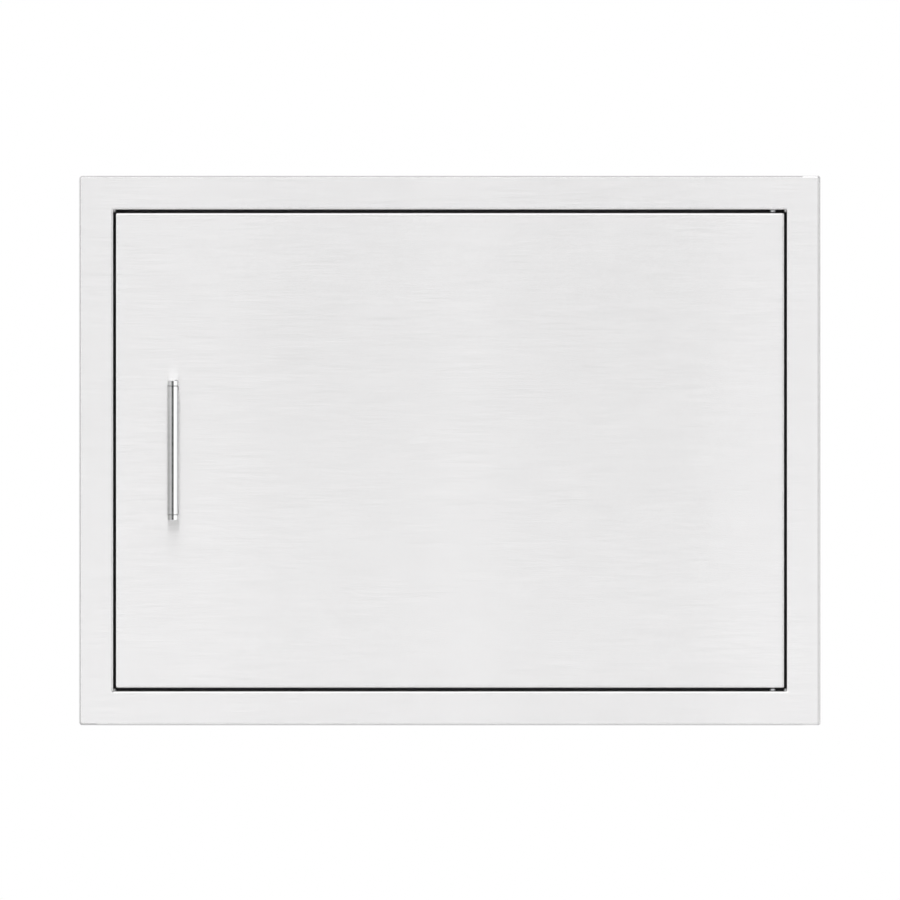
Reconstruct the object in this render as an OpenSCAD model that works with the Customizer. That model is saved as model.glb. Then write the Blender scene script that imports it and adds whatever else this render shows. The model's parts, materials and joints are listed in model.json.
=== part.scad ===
// Access door for a barbecue island: a flush stainless door on two pivot screws, in a flanged frame that
// drops into a cut-out in the island's wall.
//
// Everything is drawn lying on its back, because the sheets are easiest to read that way: x runs across the
// door, y up the door, and z out of the wall towards the user, with the wall's surface at z = 0.
// stand() then tips it up, so that the finished door has +Z up and faces -Y.

/* [Face frame] */
// Overall width of the face frame
frame_w = 685.8; // [480:0.1:1000]
// Overall height of the face frame
frame_h = 508; // [380:0.1:800]
// Width of the face band between the frame's sides and the window
face_w = 31.75; // [24:0.05:60]
// Height of the face band above and below the window
face_h = 31.5; // [24:0.05:60]
// Depth of the outer lip, which stands on the wall
lip_d = 9.5; // [8.5:0.1:14]
// Sheet thickness of the face frame
frame_t = 1.2; // [0.8:0.1:1.5]
// Outside radius of the face frame's bends
frame_bend_r = 1.8; // [1.6:0.1:2.2]
// Radius of the lip's corners, seen from the front
lip_corner_r = 2.6; // [2.3:0.1:8]
// Radius of the window's corners, inside its walls
window_corner_r = 0.6; // [0.5:0.1:3.5]
// Diameter of the weld bead down each corner of the window's walls
corner_weld_d = 2.6; // [2:0.1:3]

/* [Sleeve] */
// Depth of the sleeve behind the wall's surface
sleeve_d = 41.3; // [38:0.1:120]
// Sheet thickness of the sleeve rails
sleeve_t = 1.2; // [0.8:0.1:2]
// Width of the flange that turns inwards at the sleeve's rear edge
rear_flange_w = 12; // [6:0.5:18]
// Diameter of the fixing holes in the sleeve
fix_hole_d = 5; // [3.5:0.1:6.5]
// Distance of the fixing holes from the sleeve's rear edge
fix_hole_inset = 12; // [8:0.5:14]
// Distance of the side rails' fixing holes from the sleeve's top and bottom
fix_side_margin = 54.9; // [40:0.05:100]
// Distance of the top and bottom rails' fixing holes from the sleeve's sides
fix_end_margin = 93.55; // [40:0.05:150]

/* [Door stop] */
// Width of the stop's land, out from the sleeve's wall
stop_w = 20; // [18:0.5:26]
// Length of the stop's leg, which is welded to the sleeve's wall
stop_leg = 10; // [6:0.5:12]
// Sheet thickness of the stop
stop_t = 1.2; // [0.8:0.1:1.6]
// Space between the closed door's back and the stop's land
stop_gap = 4.5; // [4.2:0.1:8]
// Distance of the line of catches and bumpers from the sleeve's wall
land_line = 11.5; // [11:0.1:12]

/* [Door leaf] */
// Gap between the door and the window at the latch and hinge edges
side_gap = 2.15; // [1.8:0.05:4]
// Gap between the door and the window at the top and bottom edges
end_gap = 3; // [1.5:0.05:5]
// Thickness of the door leaf
door_t = 20; // [18:0.5:30]
// Sheet thickness of the outer skin
skin_t = 1; // [0.7:0.1:1.2]
// Outside radius of the door's bends
door_bend_r = 1.6; // [1.4:0.1:2]
// Radius of the door's corners, seen from the front
door_corner_r = 1.7; // [1.7:0.1:4]
// Sheet thickness of the liner
liner_t = 0.8; // [0.6:0.1:1]
// Depth of the liner's edge flange
liner_flange = 6.5; // [4:0.5:7]
// Clearance between nested sheets
nest_clear = 0.1; // [0.05:0.05:0.3]

/* [Stiffener] */
// Width of the hat channel's crown, which backs the liner
hat_crown = 34; // [20:1:80]
// Slope of the hat channel's webs, as the run of one web
hat_run = 9; // [4:0.5:20]
// Width of each of the hat channel's feet on the skin
hat_foot = 14; // [8:0.5:30]
// Sheet thickness of the hat channel
hat_t = 0.8; // [0.6:0.1:1.2]
// Distance of the hat channel's ends from the door's edges
hat_inset = 14; // [10:1:60]

/* [Pivots] */
// Distance of the hinge axis from the door's hinge edge
pivot_inset = 10.5; // [9.5:0.1:11]
// Depth of the hinge axis behind the front face
pivot_depth = 7; // [6.8:0.1:7.2]
// Diameter of the pivot screw's journal
pin_d = 4; // [3:0.1:4.6]
// Radial running clearance between the journal and its bush
pin_clear = 0.05; // [0.02:0.01:0.1]
// Length of the journal inside the door
pin_reach = 12; // [8:0.5:16]
// Diameter of the pivot screw's threaded neck in the frame
neck_d = 8; // [7.2:0.1:9]
// Diameter of the pivot screw's low head
pivot_head_d = 10.4; // [9.5:0.1:10.8]
// Height of the pivot screw's low head
pivot_head_h = 2; // [1.5:0.1:3]
// Width across the flats of the pivot screw's hexagon socket
socket_af = 4; // [2.5:0.5:5]
// Diameter of the shoulder that stands out of the window's wall
shoulder_d = 5.2; // [4.9:0.1:7]
// Thickness of the spacer washer on the shoulder
spacer_t = 1.2; // [0.8:0.1:1.6]
// Outer diameter of the spacer washer
spacer_d = 5.4; // [5.4:0.1:9]
// Outer diameter of the pivot bush
bush_d = 8; // [6.5:0.1:11]
// Thickness of the closed end that the lower journal stands on
bush_end = 2; // [1:0.1:4]
// Width of the pivot block
block_w = 18; // [14:0.5:18.5]
// Height of the pivot block along the hinge axis
block_h = 18; // [14:0.5:30]
// Thickness of the pivot block, from the skin inwards
block_t = 12; // [11:0.1:12]

/* [Handle] */
// Distance of the bar's centre line from the door's latch edge
handle_inset = 53.1; // [40:0.1:120]
// Overall length of the handle
handle_l = 129.5; // [90:0.5:400]
// Diameter of the handle bar
handle_d = 10.4; // [8:0.1:16]
// Wall thickness of the bar's tube
bar_wall = 1.5; // [1:0.1:2]
// Height of the bar's centre line above the door's face
handle_rise = 32; // [26:0.5:60]
// Thickness of the end brackets where they cap the bar
bracket_t = 5.5; // [4:0.1:10]
// Length of each bracket's foot on the door
foot_l = 14; // [12:0.5:30]
// Height of each bracket's foot
foot_h = 6; // [4:0.5:12]
// Size of the small chamfers at the joints between bar and brackets
joint_chamfer = 0.4; // [0.2:0.1:0.8]
// Size of the chamfer round the brackets' outer ends
cap_chamfer = 0.7; // [0.3:0.1:1]
// Length of the spigots that enter the bar
spigot_l = 6; // [3:0.5:12]
// Distance of the handle screws from the handle's ends
handle_screw_inset = 6; // [4:0.1:7]
// Diameter of the handle screws
handle_screw_d = 4; // [3:0.5:5]
// Depth of the tapped holes in the brackets
tap_depth = 9; // [6:0.5:12]
// Thickness of the backing plate behind the skin
backing_t = 2; // [1:0.1:3]
// Width of the backing plate
backing_w = 26; // [16:1:60]
// Distance that the backing plate runs past the handle's ends
backing_extra = 12; // [4:1:40]

/* [Liner plugs] */
// Diameter of the screwdriver holes in the liner
plug_hole_d = 16; // [12:0.5:20]
// Diameter of the plugs' heads
plug_head_d = 19.5; // [18.5:0.5:26]
// Height of the plugs' heads
plug_head_h = 1.4; // [1:0.1:1.8]
// Length of the plugs' skirts inside the door
plug_skirt = 5; // [3:0.5:7]

/* [Magnetic catches] */
// Distance of each catch from the door's nearer end
catch_margin = 109; // [75:1:115]
// Length of the catch's housing
catch_l = 50; // [46:1:60]
// Width of the catch's housing
catch_w = 14; // [12:0.5:15]
// Depth of the catch's housing behind the stop
catch_d = 13; // [11:0.5:16]
// Thickness of the floor behind the magnet
catch_floor = 3; // [2:0.1:4]
// Length of the nose that comes through the stop
nose_l = 27; // [20:0.5:28]
// Width of the nose
nose_w = 9.4; // [8:0.1:9.6]
// Clearance round the nose in the stop's slot
nose_clear = 0.3; // [0.1:0.1:0.5]
// Thickness of each pole plate
pole_t = 1.2; // [0.8:0.1:1.6]
// Length of the magnet and its pole plates
magnet_l = 23; // [16:0.5:24]
// Thickness of the magnet between its pole plates
magnet_t = 4.6; // [3:0.1:5]
// Distance that the pole plates stand out of the nose
pole_out = 1; // [0.5:0.1:1.4]
// Gap between the pole plates and the strike of the closed door
strike_gap = 0.3; // [0.2:0.1:0.6]
// Thickness of the strike plates
strike_t = 1.2; // [0.8:0.1:1.6]
// Length of the strike plates
strike_l = 44; // [40:1:60]
// Width of the strike plates
strike_w = 10; // [8:0.5:10.5]
// Distance between the two rivets of a strike plate
rivet_pitch = 34; // [32:0.5:36]
// Diameter of the strike rivets
rivet_d = 3.2; // [2.4:0.1:3.4]
// Distance between the two screws of a catch
catch_screw_pitch = 40; // [38:0.5:42]
// Diameter of the catch screws
catch_screw_d = 3; // [2.5:0.1:3.5]

/* [Bumpers] */
// Diameter of the rubber bumpers
bumper_d = 9; // [7:0.5:9.5]
// Gap between a bumper and the closed door
bumper_gap = 0.3; // [0.1:0.1:0.6]
// Diameter of the bumpers' push-in stems
bumper_stem_d = 4; // [3:0.1:5]
// Distance of the latch-side bumpers from the door's ends
bumper_end_margin = 31; // [26:1:40]
// Distance of the top and bottom bumpers from the door's hinge edge
bumper_hinge_margin = 109; // [40:1:150]
// Length of the barbs that hold the stems behind the stop
barb_h = 2; // [1:0.1:3]
// Distance that the barbs stand out round the stems
barb_out = 0.8; // [0.4:0.1:1]

/* [Hidden] */
$fn = 48;

brushed = "#e9e9ea";
mill = "#c4c6c9";
polished = "#d8dadd";
zinc = "#aeb2b8";
ferrite = "#3c3d40";
black = "#1c1d1f";
rubber = "#2b2b2c";
acetal = "#e6e2d6";

// levels of z: a depth is measured back from the front face, which the lip holds off the wall
front_z = lip_d;
door_back_z = front_z - door_t;
land_z = door_back_z - stop_gap;
sleeve_back_z = -sleeve_d;
pivot_z = front_z - pivot_depth;
fix_z = sleeve_back_z + fix_hole_inset;
bar_z = front_z + handle_rise;

// window, sleeve and door, from the frame inwards
window_w = frame_w - 2 * face_w;
window_h = frame_h - 2 * face_h;
nest_w = window_w + 2 * frame_t;
nest_h = window_h + 2 * frame_t;
sleeve_w = nest_w + 2 * sleeve_t;
sleeve_h = nest_h + 2 * sleeve_t;
door_w = window_w - 2 * side_gap;
door_h = window_h - 2 * end_gap;
liner_w = door_w - 2 * (skin_t + nest_clear);
liner_h = door_h - 2 * (skin_t + nest_clear);
sleeve_front_z = front_z - frame_bend_r - nest_clear;

// hinge axis, on the right; the journals run from the window's walls into the door
pivot_x = door_w / 2 - pivot_inset;
bush_l = pin_reach + bush_end;
tip_gap = 0.2;
journal_chamfer = 0.6;
shoulder_h = 0.3 * (end_gap - spacer_t);

// handle, on the left
handle_x = handle_inset - door_w / 2;
handle_screw_y = handle_l / 2 - handle_screw_inset;
screw_clear = 0.2;
plug_wall = 1.2;
washer_t = 0.8;
washer_d = 9.4;
pan_head_h = 2.4;
pan_head_d = 8;
slot_w = 1;
plug_skirt_sink = 0.35;
skin_back_z = front_z - skin_t;
backing_back_z = skin_back_z - backing_t;

// catches and bumpers, on the stop's land
catch_y = door_h / 2 - catch_margin;
bumper_x = door_w / 2 - bumper_hinge_margin;
bumper_y = door_h / 2 - bumper_end_margin;
land_x = land_line - nest_w / 2;
land_y = nest_h / 2 - land_line;
land_back_z = land_z - stop_t;
strike_z = door_back_z - strike_t;
pole_z = strike_z - strike_gap;
nose_z = pole_z - pole_out;
magnet_back_z = land_back_z - catch_d + catch_floor;
magnet_sink = 0.2;
housing_corner_r = 3.5;
strike_corner_r = 2;
rivet_head_d = 5.8;
rivet_head_h = 0.7;
rivet_upset_d = 4.5;
rivet_upset_h = 1.6;
catch_head_d = 6;
catch_head_h = 1.5;
catch_slot_w = 0.8;
bumper_rim = 1;
bumper_z = door_back_z - bumper_gap;
cut = 1; // how far a cutting shape runs past what it cuts

// tips the drawing up: y becomes height and z points at the user, along -Y
module stand() {
    rotate([90, 0, 0]) children();
}

// a sheet-metal bend seen from its end: a quarter of a ring in the first quadrant
module bend(r, t) {
    intersection() {
        difference() {
            circle(r);
            circle(r - t);
        }
        square(r);
    }
}

// a rectangle with round corners
module round_rect(w, h, r) {
    square([w - 2 * r, h], center = true);
    square([w, h - 2 * r], center = true);
    for (sx = [-1, 1], sy = [-1, 1])
        translate([sx * (w / 2 - r), sy * (h / 2 - r)]) circle(r);
}

// sweeps a section all round a rectangle with round corners; the section's x runs outwards from the
// rectangle's line and its y is height
module around(w, h, r) {
    for (turn = [0, 180])
        rotate(turn) {
            translate([w / 2, 0, 0]) rotate([90, 0, 0]) linear_extrude(h - 2 * r, center = true) children();
            translate([0, h / 2, 0]) rotate([90, 0, 90]) linear_extrude(w - 2 * r, center = true) children();
        }
    corners = [[1, 1], [-1, 1], [-1, -1], [1, -1]];
    for (i = [0:3])
        translate([corners[i].x * (w / 2 - r), corners[i].y * (h / 2 - r), 0])
            rotate(90 * i) rotate_extrude(angle = 90) translate([r, 0]) children();
}

// a rail along the top side of a w by h rectangle, with both ends mitred; the section is as in around()
module mitred_rail(w, h, reach) {
    intersection() {
        translate([0, h / 2, 0]) rotate([90, 0, 90]) linear_extrude(w, center = true) children();
        linear_extrude(2 * (sleeve_d + front_z), center = true) polygon([
            [-w / 2 - cut, h / 2 + cut], [w / 2 + cut, h / 2 + cut],
            [w / 2 - reach, h / 2 - reach], [reach - w / 2, h / 2 - reach]
        ]);
    }
}

// turns what was drawn for the top side to another side
module to_side(side) {
    turns = side == "top" ? 0 : side == "latch" ? 90 : side == "bottom" ? 180 : -90;
    rotate(turns) children();
}

// a bore along the hinge axis, through both ends of what lies within length l
module pivot_bore(d, l) {
    translate([pivot_x, 0, pivot_z]) rotate([90, 0, 0]) cylinder(d = d, h = l, center = true);
}

// ---- fixed side: face frame, sleeve, stops ----

// the lip's bend and wall, from its outer surface inwards
module lip_section() {
    translate([-frame_bend_r, front_z - frame_bend_r]) bend(frame_bend_r, frame_t);
    translate([-frame_t, 0]) square([frame_t, front_z - frame_bend_r]);
}

// the window's bend and wall, from the surface that the door's edge faces outwards
module return_section() {
    translate([frame_bend_r, front_z - frame_bend_r]) mirror([1, 0]) bend(frame_bend_r, frame_t);
    translate([0, land_z]) square([frame_t, front_z - frame_bend_r - land_z]);
}

// the weld that closes each corner of the window's walls, a little behind the front; it stays clear of the door
module corner_welds() {
    r = min(corner_weld_d / 2, 0.43 * end_gap);
    inset = 0.68 * r;
    nose_z = front_z - frame_bend_r - corner_weld_d / 2;
    for (sx = [-1, 1], sy = [-1, 1])
        translate([sx * (window_w / 2 - inset), sy * (window_h / 2 - inset), 0]) {
            translate([0, 0, land_z + 2 * r]) cylinder(r = r, h = nose_z - land_z - 2 * r);
            translate([0, 0, nose_z]) sphere(r);
            translate([0, 0, land_z + 2 * r]) sphere(r);
        }
}

// face band, lip and window walls, folded from one sheet, with the corners welded and ground
module face_frame() {
    color(brushed) stand() difference() {
        union() {
            translate([0, 0, front_z - frame_t]) linear_extrude(frame_t) difference() {
                round_rect(frame_w - 2 * frame_bend_r, frame_h - 2 * frame_bend_r,
                           lip_corner_r - frame_bend_r);
                round_rect(window_w + 2 * frame_bend_r, window_h + 2 * frame_bend_r,
                           window_corner_r + frame_bend_r);
            }
            around(frame_w, frame_h, lip_corner_r) lip_section();
            around(window_w, window_h, window_corner_r) return_section();
            corner_welds();
        }
        pivot_bore(neck_d, sleeve_h + cut);
    }
}

// a channel that nests outside the window's walls and turns inwards at the back
module sleeve_section() {
    translate([-sleeve_t, sleeve_back_z + frame_bend_r])
        square([sleeve_t, sleeve_front_z - sleeve_back_z - frame_bend_r]);
    translate([-frame_bend_r, sleeve_back_z + frame_bend_r]) mirror([0, 1]) bend(frame_bend_r, sleeve_t);
    translate([-rear_flange_w, sleeve_back_z]) square([rear_flange_w - frame_bend_r, sleeve_t]);
}

// the bores of the fixing screws: two through the end rails or two through the side rails
module fix_bores(across) {
    reach = across ? sleeve_h / 2 - fix_side_margin : sleeve_w / 2 - fix_end_margin;
    for (s = [-1, 1])
        rotate(across ? 90 : 0) translate([s * reach, 0, fix_z]) rotate([90, 0, 0])
            cylinder(d = fix_hole_d, h = 2 * max(sleeve_w, sleeve_h), center = true);
}

module sleeve_rail(side) {
    across = side == "latch" || side == "hinge";
    color(mill) stand() difference() {
        to_side(side) mitred_rail(across ? sleeve_h : sleeve_w, across ? sleeve_w : sleeve_h,
                                  rear_flange_w + cut) sleeve_section();
        fix_bores(across);
        pivot_bore(neck_d, sleeve_h + cut);
    }
}

// an angle: its land catches the closed door's edge and its leg lies on the sleeve's wall
module stop_section() {
    translate([-stop_w, land_back_z]) square([stop_w - frame_bend_r, stop_t]);
    translate([-frame_bend_r, land_z - frame_bend_r]) bend(frame_bend_r, stop_t);
    translate([-stop_t, land_z - stop_leg]) square([stop_t, stop_leg - frame_bend_r]);
}

// places something at both catches
module at_catches() {
    for (s = [-1, 1]) translate([land_x, s * catch_y, 0]) children();
}

// places something at both ends of a pitch along y
module pair(pitch) {
    for (s = [-1, 1]) translate([0, s * pitch / 2, 0]) children();
}

// places something at each bumper: two on the latch-side land, one on the top and one on the bottom land
module at_bumpers() {
    for (s = [-1, 1]) {
        translate([land_x, s * bumper_y, 0]) children();
        translate([bumper_x, s * land_y, 0]) children();
    }
}

module door_stop(side) {
    across = side == "latch" || side == "hinge";
    color(mill) stand() difference() {
        to_side(side) mitred_rail(across ? nest_h : nest_w, across ? nest_w : nest_h, stop_w + cut)
            stop_section();
        translate([0, 0, land_back_z - cut]) {
            linear_extrude(stop_t + 2 * cut) at_catches() {
                square([nose_w + 2 * nose_clear, nose_l + 2 * nose_clear], center = true);
            }
            at_catches() pair(catch_screw_pitch)
                cylinder(d = catch_screw_d + screw_clear, h = stop_t + 2 * cut);
            at_bumpers() cylinder(d = bumper_stem_d, h = stop_t + 2 * cut);
        }
    }
}

// ---- pivots ----

// a low-head screw with a smooth journal and a shoulder, drawn with its tip at y = 0 and its head up
module pivot_screw(journal) {
    neck = journal + shoulder_h;
    head = neck + frame_t + sleeve_t;
    top = head + pivot_head_h;
    pin_r = pin_d / 2;
    head_r = pivot_head_d / 2;
    rotate([-90, 0, 0]) difference() {
        rotate_extrude() polygon([
            [0, 0], [pin_r - journal_chamfer, 0], [pin_r, journal_chamfer], [pin_r, journal],
            [shoulder_d / 2, journal], [shoulder_d / 2, neck], [neck_d / 2, neck], [neck_d / 2, head],
            [head_r, head], [head_r, top - journal_chamfer], [head_r - journal_chamfer, top], [0, top]
        ]);
        translate([0, 0, head]) rotate(30)
            cylinder(d = socket_af / cos(30), h = pivot_head_h + cut, $fn = 6);
    }
}

module placed_pivot_screw(up) {
    journal = end_gap - shoulder_h + pin_reach - tip_gap;
    color(zinc) stand() mirror([0, up ? 0 : 1, 0])
        translate([pivot_x, door_h / 2 - pin_reach + tip_gap, pivot_z]) pivot_screw(journal);
}

// a washer pushed onto each journal up to the shoulder, nearer to the frame than to the door
module pivot_spacers() {
    color(zinc) stand() for (turn = [0, 1]) mirror([0, turn, 0])
        translate([pivot_x, window_h / 2 - shoulder_h, pivot_z]) rotate([90, 0, 0]) difference() {
            cylinder(d = spacer_d, h = spacer_t);
            translate([0, 0, -cut]) cylinder(d = pin_d, h = spacer_t + 2 * cut);
        }
}

// the block that carries a bush, welded to the inside of the skin
module pivot_block(up) {
    inner_top = door_h / 2 - skin_t;
    relief = door_bend_r - skin_t + nest_clear;
    color(mill) stand() mirror([0, up ? 0 : 1, 0]) difference() {
        translate([pivot_x - block_w / 2, inner_top, skin_back_z]) rotate([90, 0, 90])
            linear_extrude(block_w) polygon([
                [-block_h, 0], [-relief, 0], [0, -relief], [0, -block_t], [-block_h, -block_t]
            ]);
        translate([pivot_x, door_h / 2, pivot_z]) rotate([90, 0, 0]) cylinder(d = bush_d, h = bush_l);
    }
}

// a plain bush for the upper journal, or one with a closed end that the lower journal stands on
module pivot_bush(up) {
    bore_d = pin_d + 2 * pin_clear;
    color(acetal) stand() mirror([0, up ? 0 : 1, 0])
        translate([pivot_x, door_h / 2, pivot_z]) rotate([90, 0, 0]) difference() {
            cylinder(d = bush_d, h = bush_l);
            translate([0, 0, -cut]) cylinder(d = bore_d, h = cut + (up ? bush_l + cut : pin_reach));
        }
}

// ---- door leaf ----

// the front bend and the wall of the outer skin, from its outer surface inwards
module skin_section() {
    translate([-door_bend_r, front_z - door_bend_r]) bend(door_bend_r, skin_t);
    translate([-skin_t, door_back_z]) square([skin_t, door_t - door_bend_r]);
}

module door_skin() {
    color(brushed) stand() difference() {
        union() {
            translate([0, 0, skin_back_z]) linear_extrude(skin_t)
                round_rect(door_w - 2 * door_bend_r, door_h - 2 * door_bend_r,
                           door_corner_r - door_bend_r);
            around(door_w, door_h, door_corner_r) skin_section();
        }
        pivot_bore(bush_d, door_h + cut);
        translate([handle_x, 0, skin_back_z - cut]) pair(2 * handle_screw_y)
            cylinder(d = handle_screw_d + 2 * screw_clear, h = skin_t + 2 * cut);
    }
}

// the rear bend and the flange of the liner, from its outer surface inwards
module liner_section() {
    translate([-door_bend_r, door_back_z + door_bend_r]) mirror([0, 1]) bend(door_bend_r, liner_t);
    translate([-liner_t, door_back_z + door_bend_r]) square([liner_t, liner_flange - door_bend_r]);
}

module door_liner() {
    color(mill) stand() difference() {
        union() {
            translate([0, 0, door_back_z]) linear_extrude(liner_t)
                round_rect(liner_w - 2 * door_bend_r, liner_h - 2 * door_bend_r,
                           door_corner_r - door_bend_r);
            around(liner_w, liner_h, door_corner_r) liner_section();
        }
        translate([0, 0, door_back_z - cut]) {
            translate([handle_x, 0, 0]) pair(2 * handle_screw_y)
                cylinder(d = plug_hole_d, h = liner_t + 2 * cut);
            at_catches() pair(rivet_pitch) cylinder(d = rivet_d, h = liner_t + 2 * cut);
        }
    }
}

// the points of one side of a symmetrical outline, taken over to the other side in reverse order
function mirrored(points) = [for (i = [len(points) - 1:-1:0]) [-points[i].x, points[i].y]];

// a hat channel up the middle of the door, bonded to the skin with its crown against the liner
module door_stiffener() {
    rise = door_t - skin_t - liner_t;
    slope = hat_t * sqrt(hat_run * hat_run + rise * rise) / rise;
    half = hat_crown / 2;
    outside = [[half + hat_run + hat_foot, 0], [half + hat_run, 0], [half, hat_t - rise]];
    inside = [
        [half + slope / 2, -rise], [half + hat_run + slope, -hat_t],
        [half + hat_run + hat_foot, -hat_t]
    ];
    color(mill) stand() translate([0, 0, skin_back_z]) rotate([90, 0, 0])
        linear_extrude(door_h - 2 * hat_inset, center = true)
            polygon(concat(outside, mirrored(outside), mirrored(inside), inside));
}

// ---- handle ----

module handle_bar() {
    tube_l = handle_l - 2 * bracket_t;
    outer = handle_d / 2;
    color(polished) stand() translate([handle_x, -tube_l / 2, bar_z]) rotate([-90, 0, 0])
        rotate_extrude() polygon([
            [outer - bar_wall, 0], [outer - joint_chamfer, 0], [outer, joint_chamfer],
            [outer, tube_l - joint_chamfer], [outer - joint_chamfer, tube_l], [outer - bar_wall, tube_l]
        ]);
}

// side view of the upper bracket: a plate that caps the bar and sweeps inwards to a foot on the door;
// x is height up the door, back from the handle's end, and y is height above the door's face
module bracket_profile() {
    sweep_r = foot_l - bracket_t;
    top = handle_rise + handle_d / 2 + cut;
    difference() {
        polygon([
            [-foot_l, 0], [0, 0], [0, top], [-bracket_t, top],
            [-bracket_t, foot_h + sweep_r], [-foot_l, foot_h + sweep_r]
        ]);
        translate([-foot_l, foot_h + sweep_r]) circle(sweep_r);
    }
}

// a straight-sided slab under a round nose like the bar's, both chamfered at the handle's end
module bracket_blank() {
    half = handle_d / 2;
    linear_extrude(handle_rise) polygon([
        [-half, -foot_l], [half, -foot_l], [half, -cap_chamfer],
        [half - cap_chamfer, 0], [cap_chamfer - half, 0], [-half, -cap_chamfer]
    ]);
    translate([0, 0, handle_rise]) rotate([90, 0, 0]) rotate_extrude(angle = 180) polygon([
        [0, 0], [half - cap_chamfer, 0], [half, cap_chamfer], [half, bracket_t - joint_chamfer],
        [half - joint_chamfer, bracket_t], [0, bracket_t]
    ]);
}

module handle_bracket(up) {
    spigot_d = handle_d - 2 * bar_wall - 2 * nest_clear;
    color(polished) stand() mirror([0, up ? 0 : 1, 0]) translate([handle_x, handle_l / 2, front_z])
        difference() {
            union() {
                intersection() {
                    rotate([90, 0, 90]) linear_extrude(handle_d + cut, center = true) bracket_profile();
                    bracket_blank();
                }
                translate([0, -bracket_t, handle_rise]) rotate([90, 0, 0])
                    cylinder(d = spigot_d, h = spigot_l);
            }
            translate([0, -handle_screw_inset, -cut]) cylinder(d = handle_screw_d, h = tap_depth + cut);
        }
}

module handle_backing_plate() {
    color(mill) stand() translate([handle_x, 0, backing_back_z]) difference() {
        linear_extrude(backing_t) square([backing_w, handle_l + 2 * backing_extra], center = true);
        translate([0, 0, -cut]) pair(2 * handle_screw_y)
            cylinder(d = handle_screw_d + 2 * screw_clear, h = backing_t + 2 * cut);
    }
}

module handle_washers() {
    color(zinc) stand() translate([handle_x, 0, backing_back_z - washer_t]) pair(2 * handle_screw_y)
        difference() {
            cylinder(d = washer_d, h = washer_t);
            translate([0, 0, -cut]) cylinder(d = handle_screw_d + 2 * screw_clear, h = washer_t + 2 * cut);
        }
}

// pan-head screws from inside the door into the brackets
module handle_screws() {
    shank = washer_t + backing_t + skin_t + tap_depth - cut;
    head_z = backing_back_z - washer_t - pan_head_h;
    color(zinc) stand() translate([handle_x, 0, head_z]) pair(2 * handle_screw_y) difference() {
        union() {
            cylinder(d = pan_head_d, h = pan_head_h);
            cylinder(d = handle_screw_d, h = pan_head_h + shank);
        }
        for (turn = [0, 90])
            rotate(turn) cube([pan_head_d / 2, slot_w, pan_head_h], center = true);
    }
}

// snap-in plugs in the liner's screwdriver holes: a domed head and a hollow skirt
module liner_hole_plugs() {
    head_r = plug_head_d / 2;
    dome_r = (head_r * head_r + plug_head_h * plug_head_h) / (2 * plug_head_h);
    skirt_r = plug_hole_d / 2 - nest_clear;
    color(black) stand() translate([handle_x, 0, door_back_z]) pair(2 * handle_screw_y)
        rotate_extrude() {
            intersection() {
                translate([0, dome_r - plug_head_h]) circle(dome_r, $fn = 360);
                translate([0, -plug_head_h]) square([head_r, plug_head_h]);
            }
            translate([skirt_r - plug_wall, -plug_skirt_sink])
                square([plug_wall, plug_skirt + plug_skirt_sink]);
        }
}

// ---- magnetic catches and bumpers ----

module catch_housings() {
    pocket = [magnet_t + 2 * pole_t + nest_clear, magnet_l + nest_clear];
    color(black) stand() at_catches() difference() {
        union() {
            translate([0, 0, land_back_z - catch_d]) linear_extrude(catch_d)
                round_rect(catch_w, catch_l, housing_corner_r);
            translate([0, 0, land_back_z - cut]) linear_extrude(nose_z - land_back_z + cut)
                square([nose_w, nose_l], center = true);
        }
        translate([0, 0, magnet_back_z]) linear_extrude(nose_z - magnet_back_z + cut)
            square(pocket, center = true);
        pair(catch_screw_pitch) translate([0, 0, magnet_back_z])
            cylinder(d = catch_screw_d, h = land_back_z - magnet_back_z + cut);
    }
}

module catch_magnets() {
    color(ferrite) stand() at_catches() translate([0, 0, magnet_back_z])
        linear_extrude(nose_z - magnet_sink - magnet_back_z) square([magnet_t, magnet_l], center = true);
}

module catch_pole_plates() {
    color(zinc) stand() at_catches() for (s = [-1, 1])
        translate([s * (magnet_t + pole_t) / 2, 0, magnet_back_z])
            linear_extrude(pole_z - magnet_back_z) square([pole_t, magnet_l], center = true);
}

module catch_screws() {
    shank = land_z - magnet_back_z;
    color(zinc) stand() at_catches() pair(catch_screw_pitch) {
        translate([0, 0, magnet_back_z]) cylinder(d = catch_screw_d, h = shank);
        translate([0, 0, land_z]) difference() {
            cylinder(d = catch_head_d, h = catch_head_h);
            for (turn = [0, 90])
                rotate(turn) translate([0, 0, catch_head_h])
                    cube([catch_head_d / 2, catch_slot_w, catch_head_h], center = true);
        }
    }
}

module strike_plates() {
    color(zinc) stand() at_catches() translate([0, 0, strike_z]) difference() {
        linear_extrude(strike_t) round_rect(strike_w, strike_l, strike_corner_r);
        translate([0, 0, -cut]) pair(rivet_pitch) cylinder(d = rivet_d, h = strike_t + 2 * cut);
    }
}

// blind rivets: a low head on the strike, a shank and an upset end inside the liner
module strike_rivets() {
    color(mill) stand() at_catches() pair(rivet_pitch) {
        translate([0, 0, strike_z - rivet_head_h]) cylinder(d = rivet_head_d, h = rivet_head_h);
        translate([0, 0, strike_z]) cylinder(d = rivet_d, h = strike_t + liner_t);
        translate([0, 0, door_back_z + liner_t]) cylinder(d = rivet_upset_d, h = rivet_upset_h);
    }
}

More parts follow.
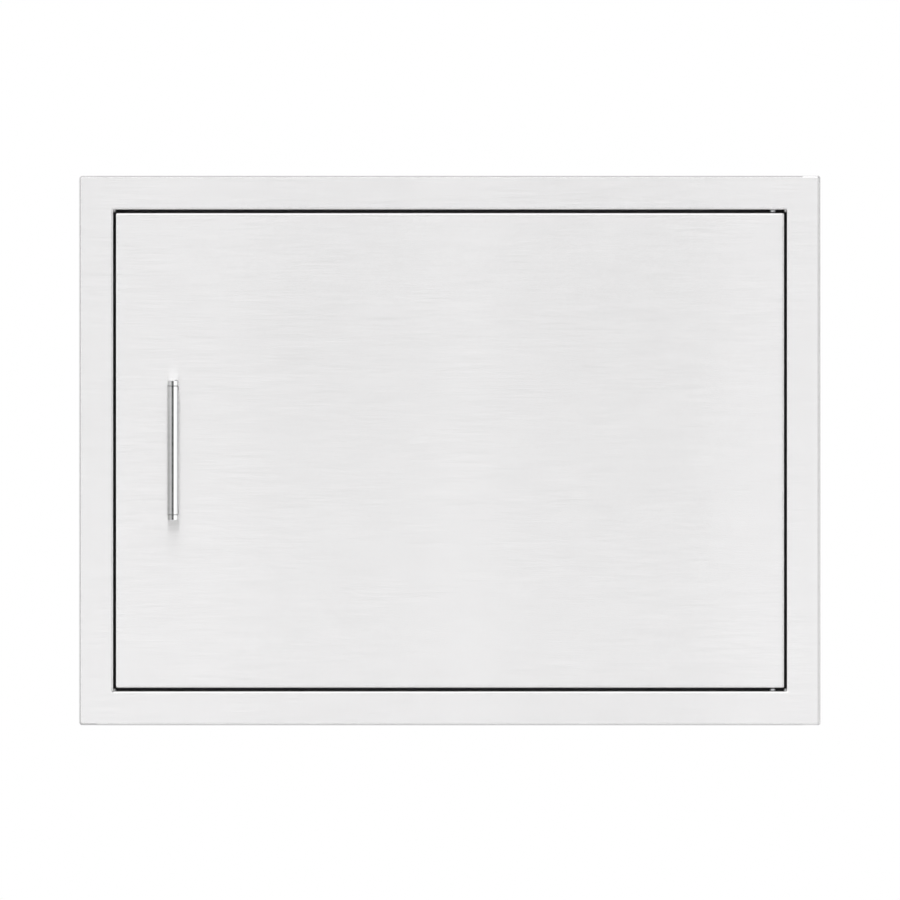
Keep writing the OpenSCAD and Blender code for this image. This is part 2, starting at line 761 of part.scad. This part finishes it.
// push-in rubber bumpers: a pad with a rounded rim, a stem through the land and a barb behind it
module door_bumpers() {
    pad_h = bumper_z - land_z;
    pad_r = bumper_d / 2;
    stem_r = bumper_stem_d / 2;
    color(rubber) stand() at_bumpers() translate([0, 0, land_z]) {
        rotate_extrude() polygon([
            [0, -stop_t - barb_h], [stem_r - nest_clear, -stop_t - barb_h], [stem_r + barb_out, -stop_t],
            [stem_r, -stop_t], [stem_r, 0], [pad_r, 0], [pad_r, pad_h - bumper_rim],
            [pad_r - bumper_rim, pad_h], [0, pad_h]
        ]);
    }
}

face_frame();
sleeve_rail("top");  // top_sleeve_rail
sleeve_rail("bottom");  // bottom_sleeve_rail
sleeve_rail("latch");  // latch_sleeve_rail
sleeve_rail("hinge");  // hinge_sleeve_rail
door_stop("top");  // top_door_stop
door_stop("bottom");  // bottom_door_stop
door_stop("latch");  // latch_door_stop
door_stop("hinge");  // hinge_door_stop
placed_pivot_screw(true);  // upper_pivot_screw
placed_pivot_screw(false);  // lower_pivot_screw
pivot_spacers();
catch_housings();
catch_magnets();
catch_pole_plates();
catch_screws();
door_bumpers();
door_skin();
door_liner();
door_stiffener();
pivot_block(true);  // upper_pivot_block
pivot_block(false);  // lower_pivot_block
pivot_bush(true);  // upper_pivot_bush
pivot_bush(false);  // lower_pivot_bush
handle_bar();
handle_bracket(true);  // upper_handle_bracket
handle_bracket(false);  // lower_handle_bracket
handle_backing_plate();
handle_screws();
handle_washers();
liner_hole_plugs();
strike_plates();
strike_rivets();
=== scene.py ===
"""The look of a flush stainless access door: brushed and mill-finished sheet, a satin handle,
plated screws, plastic, rubber and magnets, in a white studio. Lengths are metres, in the CAD
model's frame."""

import json
import math

import bpy
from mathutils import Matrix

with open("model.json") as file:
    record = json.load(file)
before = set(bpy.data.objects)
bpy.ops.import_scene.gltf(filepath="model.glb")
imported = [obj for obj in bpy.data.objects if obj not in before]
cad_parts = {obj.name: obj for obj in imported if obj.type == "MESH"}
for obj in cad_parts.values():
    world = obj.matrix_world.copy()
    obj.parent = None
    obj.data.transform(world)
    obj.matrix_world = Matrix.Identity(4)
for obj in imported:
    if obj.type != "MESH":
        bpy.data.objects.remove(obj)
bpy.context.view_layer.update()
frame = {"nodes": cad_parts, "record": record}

# ---- the photograph's view ----

PIXEL = 0.000925  # what one pixel of the photograph spans at the door
IMAGE = 900  # the photograph's width and height in pixels
VIEW_ROW = 450.4  # the row of pixels where the frame's centre lies
CAMERA_DISTANCE = 14.0
CAMERA_REACH = 100.0
SENSOR = 36.0  # in millimetres


def make_camera():
    data = bpy.data.cameras.new("camera")
    data.sensor_width = SENSOR
    data.lens = SENSOR * CAMERA_DISTANCE / (IMAGE * PIXEL)
    data.clip_end = CAMERA_REACH
    camera = bpy.data.objects.new("camera", data)
    camera.location = (0, -CAMERA_DISTANCE, (VIEW_ROW - IMAGE / 2) * PIXEL)
    camera.rotation_euler = (math.radians(90), 0, 0)
    bpy.context.scene.collection.objects.link(camera)
    bpy.context.scene.camera = camera


# ---- node helpers ----

NOISE_SPAN = (0.2, 0.8)  # nearly all of a noise's values lie between these
NOISE_CORE = (0.3, 0.7)  # and most of them between these


class Graph:
    """A node tree with short names for the few kinds of node that are used here."""

    def __init__(self, tree):
        self.tree = tree

    def add(self, kind, **settings):
        node = self.tree.nodes.new(kind)
        for key, value in settings.items():
            setattr(node, key, value)
        return node

    def link(self, source, target):
        self.tree.links.new(source, target)

    def put(self, value, target):
        """Sets a socket to a number or colour, or links it to another node's output."""
        if isinstance(value, bpy.types.NodeSocket):
            self.link(value, target)
        else:
            target.default_value = value

    def math(self, operation, a, b=0.0):
        node = self.add("ShaderNodeMath", operation=operation)
        self.put(a, node.inputs[0])
        self.put(b, node.inputs[1])
        return node.outputs[0]

    def size(self, a):
        return self.math("ABSOLUTE", a)

    def times(self, a, b):
        return self.math("MULTIPLY", a, b)

    def distance(self, a, b):
        """How far the point (a, b) lies from the origin."""
        squares = self.math("ADD", self.times(a, a), self.times(b, b))
        return self.math("SQRT", squares)

    def step(self, value, low, high, to_low=0.0, to_high=1.0):
        """A smooth step from to_low to to_high as the value goes from low to high."""
        node = self.add("ShaderNodeMapRange", interpolation_type="SMOOTHSTEP")
        for socket, number in zip(node.inputs, (value, low, high, to_low, to_high)):
            self.put(number, socket)
        return node.outputs[0]

    def spread(self, noise, low, high, span=NOISE_SPAN):
        """Spreads a noise over the values from low to high."""
        return self.step(noise, *span, low, high)

    def mix(self, factor, a, b):
        """Mixes two numbers."""
        node = self.add("ShaderNodeMix", data_type="FLOAT")
        self.put(factor, node.inputs[0])
        self.put(a, node.inputs["A"])
        self.put(b, node.inputs["B"])
        return node.outputs[0]

    def parts(self, vector):
        node = self.add("ShaderNodeSeparateXYZ")
        self.link(vector, node.inputs[0])
        return node.outputs

    def vector(self, x, y, z):
        node = self.add("ShaderNodeCombineXYZ")
        for socket, number in zip(node.inputs, (x, y, z)):
            self.put(number, socket)
        return node.outputs[0]

    def noise(self, vector, scale, detail=2.0, roughness=0.5):
        node = self.add("ShaderNodeTexNoise")
        self.put(vector, node.inputs["Vector"])
        node.inputs["Scale"].default_value = scale
        node.inputs["Detail"].default_value = detail
        node.inputs["Roughness"].default_value = roughness
        return node.outputs[0]

    def stretch(self, vector, x, y, z):
        node = self.add("ShaderNodeMapping")
        self.link(vector, node.inputs["Vector"])
        node.inputs["Scale"].default_value = (x, y, z)
        return node.outputs[0]

    def place(self):
        return self.add("ShaderNodeTexCoord").outputs["Object"]

    def normal(self):
        return self.add("ShaderNodeNewGeometry").outputs["Normal"]

    def attribute(self, name):
        return self.add("ShaderNodeAttribute", attribute_name=name).outputs["Fac"]

    def shows_background(self):
        """1 for the rays that show the white background: camera, glossy and transmission rays."""
        path = self.add("ShaderNodeLightPath").outputs
        shown = self.math("MAXIMUM", path["Is Camera Ray"], path["Is Glossy Ray"])
        return self.math("MAXIMUM", shown, path["Is Transmission Ray"])

    def bump(self, height, depth):
        node = self.add("ShaderNodeBump")
        node.inputs["Distance"].default_value = depth
        self.link(height, node.inputs["Height"])
        return node.outputs[0]

    def emission(self, strength):
        node = self.add("ShaderNodeEmission")
        self.put(strength, node.inputs["Strength"])
        return node.outputs[0]

    def blend_surface(self, factor, first, second):
        """Makes a mix of two shaders the material's surface."""
        node = self.add("ShaderNodeMixShader")
        self.put(factor, node.inputs[0])
        self.link(first, node.inputs[1])
        self.link(second, node.inputs[2])
        output = self.add("ShaderNodeOutputMaterial")
        self.link(node.outputs[0], output.inputs[0])


def new_material(name, metallic):
    """A material with a Principled shader; returns it with its graph and its shader's inputs."""
    material = bpy.data.materials.new(name)
    material.use_nodes = True
    graph = Graph(material.node_tree)
    shader = next(n for n in graph.tree.nodes if n.type == "BSDF_PRINCIPLED")
    shader.inputs["Metallic"].default_value = metallic
    return material, graph, shader.inputs


def bare_material(name):
    """A material with no shader as yet, and its graph."""
    material = bpy.data.materials.new(name)
    material.use_nodes = True
    graph = Graph(material.node_tree)
    graph.tree.nodes.clear()
    return material, graph


def grey(graph, level, tint=(1.0, 1.0, 1.0)):
    """A colour from a level that may vary over the surface."""
    return graph.vector(*(graph.times(level, t) for t in tint))


# ---- brushed sheet ----

LEVEL_FACE = 0.001  # keeps the grain's direction defined on faces that look up or down
SIDE_FACE = (0.6, 0.8)  # how much of a normal lies along X where a sheet wraps round to its side


def grain_tangent(graph):
    """The direction of a level grain that wraps round upright bends and runs along level ones."""
    x, y, _ = graph.parts(graph.normal())
    return graph.vector(graph.math("SUBTRACT", LEVEL_FACE, y), x, 0.0)


def grain(graph, across, along):
    """Streaks along X, or along Y where a sheet has wrapped round to its side."""
    place = graph.place()
    x, _, _ = graph.parts(graph.normal())
    on_side = graph.step(graph.size(x), *SIDE_FACE)
    front = graph.noise(graph.stretch(place, along, across, across), 1.0, 3.0)
    side = graph.noise(graph.stretch(place, across, along, across), 1.0, 3.0)
    return graph.mix(on_side, front, side)


WINDOW_SIDE = (0.326, 0.238)  # half the size of a rectangle between the window and the outer lip
RETURN_FROM = (-0.0084, -0.0070)  # the depths over which painted shade darkens the folds round the door
LIP_FROM = (-0.0091, -0.0085)  # the same at the bottom lip
LINE_FROM = (-0.0095, -0.00942)  # the depths over which the painted shade lines on the left and top lips set in
LEFT_LINE_TO = (-0.00925, -0.0090)  # the depths over which the left lip's line ends
TOP_LINE_TO = (-0.0092, -0.0089)  # and the top lip's
RIGHT_LINE_FROM = (0.3394, 0.3399)  # the right lip's painted shade line lies on the face, between these places
RIGHT_LINE_TO = (0.3410, 0.3415)
RIGHT_LINE_STRENGTH = 0.32
# the level that the painted shade on the folds and lips brings the sheet down to
FOLD_SHADE_LEVEL = 0.42


def painted_shade_line(graph, value, start, end, strength=1.0):
    """A painted shade line along a fold, which sets in over one span of the value and ends over
    another.
    """
    return graph.times(graph.step(value, *start), graph.step(value, *end, strength, 0.0))


def painted_fold_shade(graph):
    """1 on painted shade: the folded edges behind the bends that the belt reaches, and the lips'
    lines.
    """
    x, y, z = graph.parts(graph.place())
    beside = graph.math("GREATER_THAN", graph.size(x), WINDOW_SIDE[0])
    beyond = graph.math("GREATER_THAN", graph.size(z), WINDOW_SIDE[1])
    above = graph.math("GREATER_THAN", z, WINDOW_SIDE[1])
    right = graph.math("GREATER_THAN", x, 0.0)
    # painted shade lines along the bends of the left, top and right lips
    top_line = painted_shade_line(graph, y, LINE_FROM, TOP_LINE_TO)
    left_line = painted_shade_line(graph, y, LINE_FROM, LEFT_LINE_TO)
    right_line = painted_shade_line(graph, x, RIGHT_LINE_FROM, RIGHT_LINE_TO, RIGHT_LINE_STRENGTH)
    level_lip = graph.mix(above, graph.step(y, *LIP_FROM), top_line)
    lip = graph.mix(beside, level_lip, graph.mix(right, left_line, right_line))
    return graph.mix(graph.math("MAXIMUM", beside, beyond), graph.step(y, *RETURN_FROM), lip)


CORNER_WELD = (0.31027, 0.22162)  # the axis of the weld beads in the window's corners
CORNER_WELD_EDGE = (0.00135, 0.0018)  # from that axis, where a bead ends and its heat mark fades
CORNER_WELD_FRONT = (-0.0080, -0.0075)
CORNER_WELD_LEVEL = 0.8
CORNER_WELD_ROUGHNESS = 0.45
RIPPLE_PITCH = 0.0011
RIPPLE_DEPTH = 0.0001


def corner_welds(graph):
    """1 on the weld beads in the window's corners."""
    x, y, z = graph.parts(graph.place())
    across = graph.math("SUBTRACT", graph.size(x), CORNER_WELD[0])
    up = graph.math("SUBTRACT", graph.size(z), CORNER_WELD[1])
    near = graph.step(graph.distance(across, up), *CORNER_WELD_EDGE, 1.0, 0.0)
    return graph.times(near, graph.step(y, *CORNER_WELD_FRONT))


FINE_GRAIN = (1600.0, 24.0)  # a noise's scale across and along the grain
BROAD_GRAIN = (140.0, 5.0)
CLOUDING = 3.0
SHEET_LEVEL = (0.83, 0.87)
SHEET_SHADE = (0.994, 1.006)  # what the broad grain and the clouding multiply the level by
SHEET_TINT = (1.0, 0.993, 0.997)
SHEET_ROUGHNESS = (0.22, 0.25)
GRAIN_TURN = 0.25  # of a full turn: the highlights stretch across the grain


def brushed_sheet():
    """Belt-brushed on the face and the bends, with painted shade on the folded edges behind them."""
    material, graph, shader = new_material("brushed_sheet", 1.0)
    fine = grain(graph, *FINE_GRAIN)
    broad = grain(graph, *BROAD_GRAIN)
    cloud = graph.noise(graph.place(), CLOUDING)
    weld = corner_welds(graph)
    level = graph.spread(fine, *SHEET_LEVEL)
    level = graph.times(level, graph.spread(broad, *SHEET_SHADE))
    level = graph.times(level, graph.spread(cloud, *SHEET_SHADE))
    # painted shade: darker on the folds round the door and along the lips' bends
    level = graph.mix(painted_fold_shade(graph), level, FOLD_SHADE_LEVEL)
    level = graph.mix(weld, level, CORNER_WELD_LEVEL)
    graph.put(grey(graph, level, SHEET_TINT), shader["Base Color"])
    rough = graph.spread(fine, *SHEET_ROUGHNESS)
    graph.put(graph.mix(weld, rough, CORNER_WELD_ROUGHNESS), shader["Roughness"])
    _, depth, _ = graph.parts(graph.place())
    ripple = graph.size(graph.math("SINE", graph.times(depth, math.pi / RIPPLE_PITCH)))
    graph.put(graph.bump(graph.times(ripple, weld), RIPPLE_DEPTH), shader["Normal"])
    shader["Anisotropic"].default_value = 1.0
    shader["Anisotropic Rotation"].default_value = GRAIN_TURN
    graph.put(grain_tangent(graph), shader["Tangent"])
    return material


# ---- mill-finished sheet ----

SPOT_PITCH = 0.06
SPOT_RADIUS = 0.0026
SPOT_CORE = 0.7  # where a mark starts to fade, as a share of its radius
SPOT_DEPTH = 0.006  # where the rows of spot welds lie
SPOT_LEVEL = 0.40
SPOT_ROUGHNESS = 0.25
SPOT_SINK = 8.0  # as a multiple of the pits' depth
SLEEVE_SIDE = 0.2225  # half the height of the sleeve's upright walls


def spot_welds(graph):
    """1 inside the round marks of the spot welds along the sleeve's walls, with a soft edge."""
    x, y, z = graph.parts(graph.place())
    on_end = graph.math("GREATER_THAN", graph.size(z), SLEEVE_SIDE)
    along = graph.math("PINGPONG", graph.mix(on_end, z, x), SPOT_PITCH / 2)
    across = graph.math("SUBTRACT", y, SPOT_DEPTH)
    away = graph.distance(along, across)
    return graph.step(away, SPOT_RADIUS * SPOT_CORE, SPOT_RADIUS, 1.0, 0.0)


HANDLING_MARKS = 9.0
ROLLING_LINES = (900.0, 900.0, 12.0)
PITS = 900.0
PIT_DEPTH = 0.00001
MILL_LEVEL = (0.59, 0.63)
MILL_SHADE = (0.97, 1.03)  # what the rolling lines multiply the level by
MILL_TINT = (1.0, 1.0, 0.995)
MILL_ROUGHNESS = (0.35, 0.39)


def mill_sheet(name, welded):
    """Cold-rolled sheet with faint rolling lines and handling marks, and spot welds if welded."""
    material, graph, shader = new_material(name, 1.0)
    place = graph.place()
    marks = graph.noise(place, HANDLING_MARKS, 3.0)
    rolled = graph.noise(graph.stretch(place, *ROLLING_LINES), 1.0, 3.0)
    height = graph.noise(place, PITS, 3.0)
    level = graph.times(graph.spread(marks, *MILL_LEVEL), graph.spread(rolled, *MILL_SHADE))
    rough = graph.spread(marks, *MILL_ROUGHNESS)
    if welded:
        spot = spot_welds(graph)
        level = graph.mix(spot, level, SPOT_LEVEL)
        rough = graph.mix(spot, rough, SPOT_ROUGHNESS)
        height = graph.math("SUBTRACT", height, graph.times(spot, SPOT_SINK))
    graph.put(grey(graph, level, MILL_TINT), shader["Base Color"])
    graph.put(rough, shader["Roughness"])
    graph.put(graph.bump(height, PIT_DEPTH), shader["Normal"])
    return material


# ---- the handle ----

BAR_JOINT = 0.0595  # height of the joints between bar and brackets, above and below the middle
JOINT_EDGE = (0.0004, 0.0010)  # how far from there the painted shade in a joint ends
JOINT_SHADE_LEVEL = 0.82
TURNED_GRAIN = (60.0, 60.0, 2600.0)
BAR_LEVEL = (0.79, 0.82)
BAR_ROUGHNESS = (0.08, 0.12)
# below 1, the tint at glancing angles paints shade on the bar's edges
BAR_EDGE = 0.4
BRACKET_EDGE = 1.0


def satin_bar(name, edge):
    """Turned, lightly satined bar with painted shade in its joints; edge is how bright it stays seen
    at a glancing angle.
    """
    material, graph, shader = new_material(name, 1.0)
    place = graph.place()
    turned = graph.noise(graph.stretch(place, *TURNED_GRAIN), 1.0, 2.0)
    _, _, height = graph.parts(place)
    away = graph.size(graph.math("SUBTRACT", graph.size(height), BAR_JOINT))
    level = graph.spread(turned, *BAR_LEVEL)
    # painted shade in the joints between bar and brackets
    level = graph.times(level, graph.step(away, *JOINT_EDGE, JOINT_SHADE_LEVEL, 1.0))
    graph.put(grey(graph, level), shader["Base Color"])
    graph.put(graph.spread(turned, *BAR_ROUGHNESS), shader["Roughness"])
    # the edge tint: below 1 it paints shade on the edges
    shader["Specular Tint"].default_value = (edge, edge, edge, 1.0)
    return material


# ---- small parts ----

PLATING_CLOUD = 260.0
PLATING_SHADE = (0.95, 1.05)
PLATING_ROUGHNESS = (0.26, 0.32)
PLATING_GRAIN = 3000.0
PLATING_DEPTH = 0.000003


def plated_steel(name, base, tint):
    material, graph, shader = new_material(name, 1.0)
    place = graph.place()
    cloud = graph.noise(place, PLATING_CLOUD, 3.0)
    level = graph.spread(cloud, *(base * shade for shade in PLATING_SHADE), span=NOISE_CORE)
    graph.put(grey(graph, level, tint), shader["Base Color"])
    graph.put(graph.spread(cloud, *PLATING_ROUGHNESS), shader["Roughness"])
    graph.put(graph.bump(graph.noise(place, PLATING_GRAIN), PLATING_DEPTH), shader["Normal"])
    return material


FERRITE_SPECKS = 2500.0
FERRITE_LEVEL = (0.04, 0.075)
FERRITE_TINT = (1.0, 1.0, 1.04)
FERRITE_ROUGHNESS = (0.45, 0.6)
FERRITE_DEPTH = 0.00003


def ferrite():
    material, graph, shader = new_material("ferrite", 0.0)
    specks = graph.noise(graph.place(), FERRITE_SPECKS, 4.0, 0.7)
    level = graph.spread(specks, *FERRITE_LEVEL, span=NOISE_CORE)
    graph.put(grey(graph, level, FERRITE_TINT), shader["Base Color"])
    graph.put(graph.spread(specks, *FERRITE_ROUGHNESS, span=NOISE_CORE), shader["Roughness"])
    graph.put(graph.bump(specks, FERRITE_DEPTH), shader["Normal"])
    return material


MOULDED_CLOUD = 60.0
MOULDED_SHADE = (0.93, 1.07)
MOULDED_ROUGHNESS = 0.05  # how far the roughness goes up and down


def moulded(name, base, tint, roughness, pitch, depth):
    """Plastic, rubber or paint with a fine texture of the given pitch and depth."""
    material, graph, shader = new_material(name, 0.0)
    place = graph.place()
    texture = graph.noise(place, pitch, 3.0)
    cloud = graph.noise(place, MOULDED_CLOUD)
    level = graph.spread(cloud, *(base * shade for shade in MOULDED_SHADE), span=NOISE_CORE)
    ends = (roughness - MOULDED_ROUGHNESS, roughness + MOULDED_ROUGHNESS)
    graph.put(grey(graph, level, tint), shader["Base Color"])
    graph.put(graph.spread(texture, *ends, span=NOISE_CORE), shader["Roughness"])
    graph.put(graph.bump(texture, depth), shader["Normal"])
    return material


MOULDED = {  # level, tint, roughness, and the texture's pitch and depth
    # black_coat darkens the door stops, which paints the shade in the gaps round the door
    "black_coat": (0.08, (1.0, 1.0, 1.04), 0.5, 700.0, 0.00003),
    "black_plastic": (0.022, (1.0, 1.0, 1.05), 0.42, 1800.0, 0.00002),
    "white_acetal": (0.78, (1.0, 0.985, 0.95), 0.35, 1400.0, 0.00001),
    "black_rubber": (0.03, (1.0, 1.0, 1.0), 0.75, 1200.0, 0.00004),
}


def dress_nodes():
    """Gives each CAD node the material that the record's slot names."""
    finishes = {
        "brushed_sheet": brushed_sheet(),
        "mill_sheet": mill_sheet("mill_sheet", False),
        "satin_bar": satin_bar("satin_bar", BAR_EDGE),
        "plated_steel": plated_steel("plated_steel", 0.70, (0.985, 1.0, 1.02)),
        "black_zinc": plated_steel("black_zinc", 0.15, (1.0, 1.0, 1.05)),
        "ferrite": ferrite(),
    }
    for name, look in MOULDED.items():
        finishes[name] = moulded(name, *look)
    welded = mill_sheet("welded_sheet", True)
    bracket = satin_bar("satin_bracket", BRACKET_EDGE)
    for part in frame["record"]["subparts"]:
        finish = finishes[part["material_slot"]]
        if part["node"].endswith("_sleeve_rail"):
            finish = welded
        if part["node"].endswith("_handle_bracket"):
            finish = bracket
        for slot in frame["nodes"][part["node"]].material_slots:
            slot.material = finish


# ---- studio ----

WHITE = 1.0
WORLD_LIGHT = 0.55  # what the world adds to surfaces that aren't glossy
FLOOR_Z = -0.5
FLOOR_CENTRE = -8.0  # it reaches far out before the door, and a little behind it
FLOOR_RADIUS = 9.2
FLOOR_SIDES = 96
FLOOR_FADE = (8.2, 9.0)  # where, from its centre, the floor starts to turn white, and where it has
FLOOR_LEVEL = 0.77


def make_world():
    """White to the camera and in metal and glass, and a plain soft light on the rest."""
    world = bpy.data.worlds.new("studio")
    bpy.context.scene.world = world
    world.use_nodes = True
    graph = Graph(world.node_tree)
    graph.tree.nodes.clear()
    background = graph.add("ShaderNodeBackground")
    background.inputs["Color"].default_value = (WHITE, WHITE, WHITE, 1.0)
    strength = graph.mix(graph.shows_background(), WORLD_LIGHT, WHITE)
    graph.put(strength, background.inputs["Strength"])
    output = graph.add("ShaderNodeOutputWorld")
    graph.link(background.outputs[0], output.inputs[0])


def make_floor():
    bpy.ops.mesh.primitive_circle_add(vertices=FLOOR_SIDES, radius=FLOOR_RADIUS, fill_type="NGON",
                                      location=(0, FLOOR_CENTRE, FLOOR_Z))
    floor = bpy.context.object
    floor.name = "floor"
    material, graph = bare_material("pale_floor")
    x, y, _ = graph.parts(graph.place())
    faded = graph.step(graph.distance(x, y), *FLOOR_FADE)
    pale = graph.add("ShaderNodeBsdfDiffuse")
    pale.inputs["Color"].default_value = (FLOOR_LEVEL, FLOOR_LEVEL, FLOOR_LEVEL, 1.0)
    graph.blend_surface(graph.times(faded, graph.shows_background()), pale.outputs[0],
                        graph.emission(WHITE))
    floor.data.materials.append(material)


def add_hidden(name, mesh, material, hidden_from):
    """Adds a mesh that the given kinds of ray don't meet, and returns its object."""
    mesh.materials.append(material)
    piece = bpy.data.objects.new(name, mesh)
    bpy.context.scene.collection.objects.link(piece)
    for kind in hidden_from:
        setattr(piece, "visible_" + kind, False)
    return piece


# Softboxes and cards that stand round the object, the nearest last. Each has the azimuths, in
# degrees from straight ahead of the door and positive to the right, at which it starts, is full,
# begins to end and ends; the same for the elevations; its level at the left and at the right; and
# whether it lights the object as a lamp does.
CARDS = {
    "overhead_softbox": ((-100, -60, 60, 100), (4, 14, 45, 68), (2.05, 2.05), True),
    "left_softbox": ((-84, -72, -35, -15), (-38, -22, 22, 38), (1.7, 1.7), True),
    "right_card": ((6, 12, 58, 72), (-70, -50, 50, 70), (0.35, 0.35), False),
    "far_right_softbox": ((55, 75, 110, 130), (-40, -20, 50, 70), (1.05, 1.05), True),
    "left_card": ((-115, -95, -21, -15), (-5.7, -3.4, 0.0, 2.6), (0.3, 0.6), False),
    "right_tube": ((21, 27, 76, 86), (-5.7, -3.4, 3.4, 5.7), (1.5, 1.5), True),
    "camera_flag": ((-20, -15, 17.5, 22.3), (-3.2, -2.0, 2.0, 3.2), (0.05, 0.05), False),
}
CARD_RADIUS = 12.0
CARD_SPACING = 0.1
CARD_COLUMNS = 64
CARD_ROWS = 24


def smooth(value, low, high):
    t = min(max((value - low) / (high - low), 0.0), 1.0)
    return t * t * (3 - 2 * t)


def inside(value, start, full, ending, end):
    return smooth(value, start, full) * (1 - smooth(value, ending, end))


def card_point(radius, turn, lift):
    """The point at an azimuth and an elevation, in degrees, as seen from the object."""
    turn, lift = math.radians(turn), math.radians(lift)
    flat = radius * math.cos(lift)
    return flat * math.sin(turn), -flat * math.cos(turn), radius * math.sin(lift)


def card_mesh(name, radius, turns, lifts, levels):
    """A bent grid whose vertices carry the card's level and how much it covers."""
    points, level, cover = [], [], []
    for row in range(CARD_ROWS + 1):
        lift = lifts[0] + (lifts[3] - lifts[0]) * row / CARD_ROWS
        for column in range(CARD_COLUMNS + 1):
            turn = turns[0] + (turns[3] - turns[0]) * column / CARD_COLUMNS
            points.append(card_point(radius, turn, lift))
            level.append(levels[0] + (levels[1] - levels[0]) * smooth(turn, turns[1], turns[2]))
            cover.append(inside(turn, *turns) * inside(lift, *lifts))
    wide = CARD_COLUMNS + 1
    faces = [(i, i + 1, i + 1 + wide, i + wide)
             for row in range(CARD_ROWS) for i in range(row * wide, row * wide + CARD_COLUMNS)]
    mesh = bpy.data.meshes.new(name)
    mesh.from_pydata(points, [], faces)
    for key, values in (("level", level), ("cover", cover)):
        mesh.attributes.new(key, "FLOAT", "POINT").data.foreach_set("value", values)
    return mesh


def make_card(name, radius, turns, lifts, levels, lights):
    """A glowing or dark card with soft edges, which the camera doesn't see."""
    material, graph = bare_material(name)
    clear = graph.add("ShaderNodeBsdfTransparent")
    glow = graph.emission(graph.attribute("level"))
    graph.blend_surface(graph.attribute("cover"), clear.outputs[0], glow)
    hidden_from = ("camera", "shadow") if lights else ("camera", "shadow", "diffuse")
    card = add_hidden(name, card_mesh(name, radius, turns, lifts, levels), material, hidden_from)


# Each has its depth; its left, right, bottom and top edge; the height over which it sets in; and
# how much light it takes.
SCRIMS = {
    "upper_scrim": (-0.60, -1.6, 1.6, -0.25, 1.2, 0.5, 0.18),
    "wide_scrim": (-1.21, -0.60, 0.275, -1.0, 1.0, 0.1, 0.02),
    "left_scrim": (-1.22, -0.205, -0.02, -1.0, 1.0, 0.1, 0.04),
    "right_scrim": (-1.23, 0.045, 0.265, -1.0, 1.0, 0.1, 0.045),
}


def make_scrim(name, y, left, right, bottom, top, rise, shade):
    """A nearly clear net before the door, which only the metal reflects: it dims a part a little."""
    mesh = bpy.data.meshes.new(name)
    corners = [(left, y, bottom), (right, y, bottom), (right, y, top), (left, y, top)]
    mesh.from_pydata(corners, [], [(0, 1, 2, 3)])
    material, graph = bare_material(name)
    clear = graph.add("ShaderNodeBsdfTransparent")
    _, _, height = graph.parts(graph.place())
    graph.blend_surface(graph.step(height, bottom, bottom + rise, 0.0, shade), clear.outputs[0],
                        graph.emission(0.0))
    scrim = add_hidden(name, mesh, material, ("camera", "diffuse", "shadow", "transmission"))


bpy.context.scene.view_settings.view_transform = "Standard"
make_camera()
make_world()
make_floor()
for index, (card_name, card_look) in enumerate(CARDS.items()):
    make_card(card_name, CARD_RADIUS - CARD_SPACING * index, *card_look)
for scrim_name, scrim_edges in SCRIMS.items():
    make_scrim(scrim_name, *scrim_edges)
dress_nodes()
